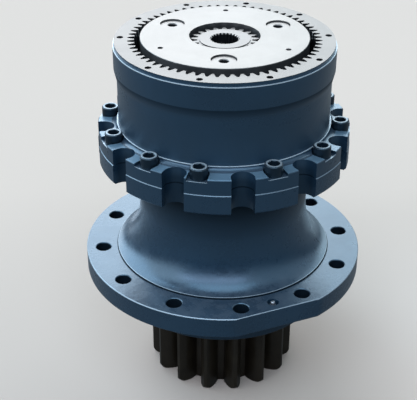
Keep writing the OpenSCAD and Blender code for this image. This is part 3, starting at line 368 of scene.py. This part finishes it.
# Shares of painted shade: in the notches, under the band, under the lugs and on the pilot below the
# flange
NOTCH_SHADE = 0.45
BAND_SHADE = 0.7
LUG_SHADE = 0.9
PILOT_SHADE = 0.35
# The upper case's wall is rougher at its foot
WALL_FOOT_Z = (COLLAR_Z + 50 * MM, COLLAR_Z + 15 * MM)
FOOT_ROUGH = 0.15
FOOT_COAT_ROUGH = 0.5
# Shares of pale metal painted on the edges as highlights
UPPER_HIGHLIGHT = 0.85
SEAT_HIGHLIGHT = 0.6
LOWER_HIGHLIGHT = 0.4
JOINT_HIGHLIGHT = 0.15
SCREW_HIGHLIGHT = 0.4


def line_at(across, z, inward=1.0, outward=1.0, down=1.0, up=1.0):
    """The box of a painted highlight line along an edge, by how many times LINE it reaches each way."""
    return across - inward * LINE, across + outward * LINE, z - down * LINE, z + up * LINE


def new_material(name):
    return Nodes(bpy.data.materials.new(name))


def finish_material(name, shader, *values):
    t = new_material(name)
    return t.surface(shader(t, *values))


def upper_case_material():
    """Paint outside, with painted shade, a dark seam, painted light and painted highlights, a turned
    top face, and dark oiled bores and teeth.
    """
    t = new_material("upper_case")
    x, y, z = t.parts()
    r = t.radius(x, y)
    # Painted shade in the notches and under the band, and the dark seam at the joint
    inward = t.span(r, *NOTCH_SHADE_AND_SEAM_R)
    in_notch = t.times(t.span(z, *NOTCH_SHADE_Z), inward)
    seam = t.times(t.below(z, JOINT_Z + SEAM), inward)
    under_band = t.times(t.span(z, *BAND_SHADE_Z), t.below(z, BAND_END_Z))
    shade_and_seam = t.most(t.times(in_notch, NOTCH_SHADE), t.times(under_band, BAND_SHADE), seam)
    paint = shaded_paint(t, shade_and_seam)

    # Painted light on the flat outer lug tops
    lug_top = t.times(t.within(z, LUG_TOP_Z - SKIN, LUG_TOP_Z + SKIN), t.above(r, LUG_FLAT_R))
    t.put(paint, "Base Color", t.mix(lug_top, t.source(paint, "Base Color"), LUG_TOP_PAINTED_LIGHT))
    foot = t.times(t.span(z, *WALL_FOOT_Z), t.above(z, COLLAR_Z + SKIN))
    t.put(paint, "Roughness", t.plus(t.source(paint, "Roughness"), t.times(foot, FOOT_ROUGH)))
    t.put(paint, "Coat Roughness", t.span(foot, 0.0, 1.0, PAINT_COAT_ROUGH, FOOT_COAT_ROUGH))

    # Painted highlights: pale lines on the band's ledge, the collar and the screw seats
    edges = t.inside(r, z, line_at(BAND_R, LEDGE_Z, down=0.9),
                     line_at(COLLAR_R, COLLAR_Z, inward=0.8, outward=0.4, down=0.7))
    seats = t.inside(r, z, line_at(LUG_R, SEAT_Z, inward=1.5, down=0.3, up=0.3))
    seats = t.times(seats, t.above(t.upward(), FACES_UP))
    edges = t.most(edges, t.times(seats, SEAT_HIGHLIGHT))
    outside = t.blend(t.times(edges, UPPER_HIGHLIGHT), paint, highlight_shader(t))

    on_top = t.above(z, TOP_Z - TOP_SKIN)
    in_bore = t.below(r, INNER_R)
    inner = t.blend(on_top, flank_shader(t), steel_shader(t, TOP_STEEL, TOP_ROUGH))
    return t.surface(t.blend(t.most(on_top, in_bore), outside, inner))


def lower_case_material():
    """Paint outside, with painted shade where shade falls, a dark seam at the joint, painted highlights
    on edges, and a bare oiled face at the bottom.
    """
    t = new_material("lower_case")
    x, y, z = t.parts()
    r = t.radius(x, y)
    # Painted shade: in the notches, under the lugs, in the step at the flare's foot, in the flange's
    # holes and on the pilot; and the dark seam at the joint
    in_notch = t.times(t.above(z, LUG_BOTTOM_Z), t.span(r, *NOTCH_SHADE_AND_SEAM_R))
    seam = t.times(t.above(z, JOINT_Z - SEAM), t.above(in_notch, SEAM_FROM))
    under_lugs = t.times(t.span(z, *LUG_SHADE_Z), t.below(z, LUG_BOTTOM_Z - SKIN))
    below_top = FLANGE_T - LINE
    flare_foot = t.inside(r, z, (RIM_R - 0.5 * LINE, RIM_R + 1.2 * LINE, below_top, RIM_Z - 0.5 * LINE))
    holes = t.inside(r, z, (HOLES_R - HOLE_REACH, HOLES_R + HOLE_REACH, 0, below_top))
    recess = t.inside(x, y, (NIPPLE_LOW[0] - RECESS_REACH, NIPPLE_HIGH[0] + RECESS_REACH,
                             NIPPLE_LOW[1] - RECESS_REACH, NIPPLE_HIGH[1] + RECESS_REACH))
    holes = t.math("SUBTRACT", holes, recess, clamp=True)
    pilot = t.times(t.below(z, 0), PILOT_SHADE)
    shade_and_seam = t.most(t.times(in_notch, NOTCH_SHADE), t.times(under_lugs, LUG_SHADE), seam, flare_foot,
                  holes, pilot)
    paint = shaded_paint(t, shade_and_seam, grain=0.4, scuffed=0.4)

    # Painted highlights: pale lines at the joint, the flare's rim, and the flange's edges and flat
    joint = t.inside(r, z, line_at(LUG_R, JOINT_Z))
    edges = t.inside(r, z, line_at(RIM_R, RIM_Z, inward=0.6, outward=0.1, down=0.4),
                     line_at(FLANGE_R, FLANGE_T))
    edges = t.most(edges, t.inside(y, z, line_at(FLAT_Y, FLANGE_T, down=0.6)))
    highlights = t.most(t.times(edges, LOWER_HIGHLIGHT), t.times(joint, JOINT_HIGHLIGHT))
    outside = t.blend(highlights, paint, highlight_shader(t))

    bottom = t.times(t.below(z, SKIN), t.below(t.upward(), FACES_DOWN))
    return t.surface(t.blend(bottom, outside, oily_shader(t, BARE_STEEL, 0.4, 0.7)))


def screw_material():
    """Near-black screws with a painted highlight on their top rings."""
    t = new_material("screws")
    ring = t.above(t.parts()[2], SCREW_TOP_Z - SKIN)
    body = paint_shader(t, SCREW_TONE, SCREW_ROUGH)
    t.put(body, "Specular IOR Level", 0.4)
    t.put(body, "Coat Weight", 0.15)
    return t.surface(t.blend(t.times(ring, SCREW_HIGHLIGHT), body, highlight_shader(t)))


# The finish of each material slot: shader, colour, roughness, and metal where the shader's doesn't do
SLOTS = {
    "case_paint": (paint_shader,),
    "screw_paint": (paint_shader, (0.010, 0.018, 0.030), 0.36),
    "dark_steel": (oily_shader, (0.025, 0.019, 0.0115), 0.44),
    "machined_steel": (steel_shader, (0.36, 0.325, 0.30), 0.5),
    "gear_steel": (oily_shader, (0.16, 0.17, 0.18), 0.35, 0.9),
    "bearing_steel": (steel_shader, (0.72, 0.73, 0.74), 0.16),
    "plain_steel": (steel_shader, (0.50, 0.51, 0.52), 0.3),
    "spring_steel": (steel_shader, (0.30, 0.31, 0.33), 0.34),
    "plated_steel": (oily_shader, (0.30, 0.32, 0.35), 0.38, 0.8),
    "cast_steel": (oily_shader, (0.22, 0.22, 0.23), 0.5, 0.8),
    "bronze": (steel_shader, (0.62, 0.42, 0.20), 0.3),
    "seal_rubber": (oily_shader, (0.02, 0.02, 0.021), 0.55, 0.0),
}
FINISH = {slot: finish_material(slot, *finish) for slot, finish in SLOTS.items()}


def dress(target, material):
    target.data.materials.clear()
    target.data.materials.append(material)


for name, made in nodes.items():
    dress(made, FINISH[slot_of[name]])


# Pieces that stand for the CAD parts in view, with rounded edges and smooth curves

# Vertices nearer than this merge, edges shorter than this go, and faces flatter than this join
MERGE = 3e-6
SHORTEST = 2e-6
FLATTEST = math.radians(0.05)
SHARP = math.radians(28.0)
ROUND_FROM = math.radians(35.0)
ROUND_SEGMENTS = 3


def refined(node, width, material=None):
    """A copy of a CAD node with its edges rounded by width, which rides with the node's body."""
    mesh = nodes[node].data.copy()
    made = bpy.data.objects.new(node + "_surface", mesh)
    scene.collection.objects.link(made)
    work = bmesh.new()
    work.from_mesh(mesh)
    bmesh.ops.remove_doubles(work, verts=work.verts, dist=MERGE)
    bmesh.ops.dissolve_degenerate(work, dist=SHORTEST, edges=work.edges)
    bmesh.ops.dissolve_limit(work, angle_limit=FLATTEST, verts=work.verts, edges=work.edges)
    for face in work.faces:
        face.smooth = True
    work.to_mesh(mesh)
    work.free()
    mesh.set_sharp_from_angle(angle=SHARP)
    round_off = made.modifiers.new("edges", "BEVEL")
    round_off.width = width
    round_off.segments = ROUND_SEGMENTS
    round_off.limit_method = "ANGLE"
    round_off.angle_limit = ROUND_FROM
    round_off.harden_normals = True
    round_off.use_clamp_overlap = True
    even = made.modifiers.new("normals", "WEIGHTED_NORMAL")
    even.keep_sharp = True
    dress(made, material or FINISH[slot_of[node]])
    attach(made, body_of[node])
    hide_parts(node)


CARRIER_TONE = (0.355, 0.32, 0.293)
CARRIER_FLANK = (0.085, 0.088, 0.09)
carrier_steel = finish_material("carrier_steel", faced_shader, CARRIER_TONE, 0.5, CARRIER_FLANK)
pin_steel = finish_material("pin_steel", faced_shader, (0.36, 0.325, 0.30), 0.5)
sun_steel = finish_material("sun_steel", faced_shader, (0.31, 0.28, 0.26), 0.5)

refined("ring_gear", 0.4 * MM, upper_case_material())
refined("lower_housing", 0.4 * MM, lower_case_material())
refined("joint_bolts", 0.3 * MM, screw_material())
refined("first_carrier", 0.4 * MM, carrier_steel)
refined("first_planet_pins", 0.4 * MM, pin_steel)
refined("first_sun", 0.3 * MM, sun_steel)
refined("pinion_shaft", 0.8 * MM)
refined("grease_nipple", 0.2 * MM)


# Floor

FLOOR_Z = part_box("pinion_shaft")[0][2]
FLOOR_HALF = 12.0
# Floor tones: painted shade near the camera, lighter far off, and a painted pool of light aside; the
# dull tone is what other rays see
FLOOR_NEAR = (0.39, 0.334, 0.293)
FLOOR_FAR = (0.517, 0.433, 0.371)
FLOOR_ASIDE = (0.66, 0.562, 0.49)
FLOOR_DULL = (0.135, 0.130, 0.124)
# The way the camera looks, over the floor
AHEAD_X = 0.38
AHEAD_Y = 0.92
# From where to where, in metres, the painted floor light changes: painted shade gives way away from the
# camera, and a painted pool of light lies to the part's right
FLOOR_DEPTH = (-0.5, 0.5)
ASIDE_RIGHT = (0.15, 0.45)
ASIDE_FRONT = (0.4, -0.15)
ASIDE_ROUND = (1.5, 0.4)


def floor_piece():
    """A pale floor with painted shade near the camera and a painted pool of light at the right, that
    throws little light back.
    """
    mesh = bpy.data.meshes.new("floor")
    ways = ((-1, -1), (1, -1), (1, 1), (-1, 1))
    mesh.from_pydata([(x * FLOOR_HALF, y * FLOOR_HALF, FLOOR_Z) for x, y in ways], [], [(0, 1, 2, 3)])
    made = bpy.data.objects.new("floor", mesh)
    scene.collection.objects.link(made)
    t = new_material("floor")
    x, y, z = t.parts()
    along = t.plus(t.times(x, AHEAD_X), t.times(y, AHEAD_Y))
    right = t.math("SUBTRACT", t.times(x, AHEAD_Y), t.times(y, AHEAD_X))
    aside = t.times(t.span(right, *ASIDE_RIGHT), t.span(along, *ASIDE_FRONT))
    aside = t.times(aside, t.span(t.radius(x, y), *ASIDE_ROUND))
    tone = t.mix(t.span(along, *FLOOR_DEPTH), FLOOR_NEAR, FLOOR_FAR)
    pale = t.add("BsdfDiffuse", {"Color": t.mix(aside, tone, FLOOR_ASIDE)})
    dull = t.add("BsdfDiffuse", {"Color": FLOOR_DULL})
    seen = t.add("LightPath").outputs["Is Camera Ray"]
    from_below = t.add("NewGeometry").outputs["Backfacing"]
    dress(made, t.surface(t.blend(from_below, t.blend(seen, dull, pale), t.add("BsdfTransparent"))))


floor_piece()


# Camera, as fitted to the photo: where it stands, which way its sides point, and its lens

CAMERA_AT = Vector((-520.9, -1198.0, 859.9)) * MM
CAMERA_RIGHT = Vector((0.92403, -0.38231, 0.00284))
CAMERA_UP = Vector((0.19065, 0.46721, 0.86335))
CAMERA_BACK = Vector((-0.33139, -0.79722, 0.5046))
LENS = 89.03
SENSOR = 36.0


def camera():
    data = bpy.data.cameras.new("camera")
    made = bpy.data.objects.new("camera", data)
    scene.collection.objects.link(made)
    turn = Matrix((CAMERA_RIGHT, CAMERA_UP, CAMERA_BACK)).transposed().to_4x4()
    made.matrix_world = Matrix.Translation(CAMERA_AT) @ turn
    data.lens = LENS
    data.sensor_width = SENSOR
    scene.camera = made


camera()


# Soft light panels round the part: azimuth from and to, height from and to in degrees, and colour
SKY = (
    (100, 150, 12, 66, (3.0, 3.9, 4.7)),
    (60, 100, 12, 50, (4.3, 4.8, 5.3)),
    (20, 60, 12, 50, (2.4, 3.0, 3.3)),
    (150, 200, 12, 50, (2.2, 2.5, 2.75)),
    (195, 275, 27, 41, (3.8, 4.1, 5.0)),
    (200, 290, 46, 74, (2.6, 3.4, 4.1)),
    (275, 380, 12, 50, (0.66, 0.80, 0.90)),
)
# Over how many degrees a panel's sides and its top and bottom fade
SKY_SOFT_ACROSS = 18
SKY_SOFT_UP = 12
# What the camera sees past the floor
BACKGROUND = (0.74, 0.745, 0.735)


def between(t, value, low, high, soft):
    """1 from low to high in degrees, with ends that fade."""
    low, high, half = math.radians(low), math.radians(high), math.radians(soft) / 2
    up = t.span(value, low - half, low + half, interpolation_type="SMOOTHSTEP")
    down = t.span(value, high + half, high - half, interpolation_type="SMOOTHSTEP")
    return t.times(up, down)


def world():
    t = Nodes(bpy.data.worlds.new("studio"), "OutputWorld")
    x, y, z = t.add("SeparateXYZ", {0: t.add("TexCoord").outputs["Generated"]}).outputs
    azimuth = t.math("ARCTAN2", y, x)
    height = t.math("ARCSINE", z)
    total = None
    for first, last, low, high, colour in SKY:
        middle = (first + last) / 2
        half = (last - first) / 2
        off = t.math("SUBTRACT", azimuth, math.radians(middle))
        near = t.add("Math", {0: off, 1: math.pi, 2: -math.pi}, operation="WRAP")
        across = between(t, near, -half, half, SKY_SOFT_ACROSS)
        share = t.times(across, between(t, height, low, high, SKY_SOFT_UP))
        panel = t.add("VectorMath", {0: colour, "Scale": share}, operation="SCALE")
        if total is not None:
            panel = t.add("VectorMath", {0: total, 1: panel}, operation="ADD")
        total = panel
    sky = t.add("Background", {"Color": total, "Strength": 1.0})
    plain = t.add("Background", {"Color": BACKGROUND, "Strength": 1.0})
    seen = t.add("LightPath").outputs["Is Camera Ray"]
    scene.world = t.surface(t.blend(seen, sky, plain))


world()

scene.view_settings.view_transform = "Standard"
